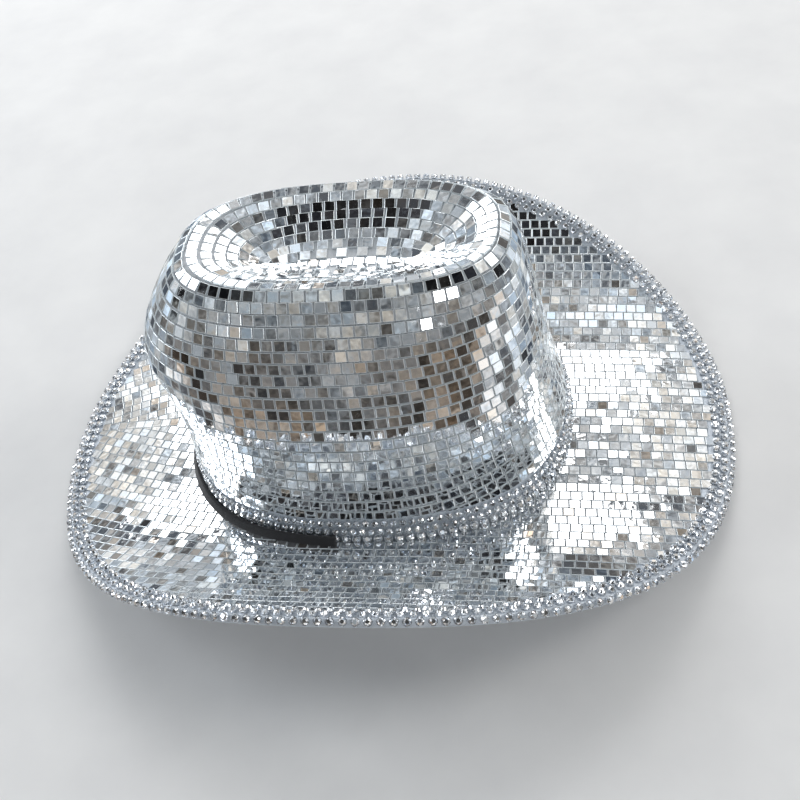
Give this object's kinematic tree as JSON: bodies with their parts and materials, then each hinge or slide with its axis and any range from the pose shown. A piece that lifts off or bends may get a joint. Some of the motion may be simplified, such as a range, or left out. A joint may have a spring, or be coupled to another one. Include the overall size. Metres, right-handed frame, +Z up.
{
  "type": "mirror mosaic party hat",
  "caption": "Western party hat covered in small mirror tiles, with rhinestone trims, a dented oval crown and a brim curled up at the sides.",
  "frame": {"origin": "on the floor under the middle of the brim, with the hat standing on its brim", "axes": "+X to the front of the hat along its long axis, +Y to the wearer's left, +Z up"},
  "size_m": [0.3685, 0.3074, 0.1418],
  "materials": {
    "felt_body": "pressed grey felt",
    "mirror_tiles": "small square glass mirror tiles on a mesh sheet",
    "rhinestones": "round faceted clear stones with foiled backs in silver cups",
    "trim_tape": "woven silver backing tape",
    "black_ribbon": "matt black felt ribbon",
    "sweatband": "black ribbed sweatband tape",
    "foam": "dark open-cell foam pad",
    "size_tape": "black hook and loop tape",
    "lining": "grey satin lining",
    "brim_wire": "flat spring steel wire"
  },
  "bodies": {
    "root": {"crown_shell": "felt_body", "brim_shell": "felt_body", "crown_side_tiles": "mirror_tiles", "crown_cap_tiles": "mirror_tiles", "dent_tiles": "mirror_tiles", "brim_tiles": "mirror_tiles", "edge_stones_rim": "rhinestones", "edge_stones_middle": "rhinestones", "edge_stones_inner": "rhinestones", "foot_stones_low": "rhinestones", "foot_stones_middle": "rhinestones", "foot_stones_high": "rhinestones", "edge_tape": "trim_tape", "foot_tape": "trim_tape", "black_ribbon": "black_ribbon", "sweatband": "sweatband", "sweatband_foam": "foam", "size_tape_hook": "size_tape", "size_tape_loop": "size_tape", "lining_side": "lining", "lining_tip": "lining", "brim_wire": "brim_wire"}
  },
  "joints": []
}
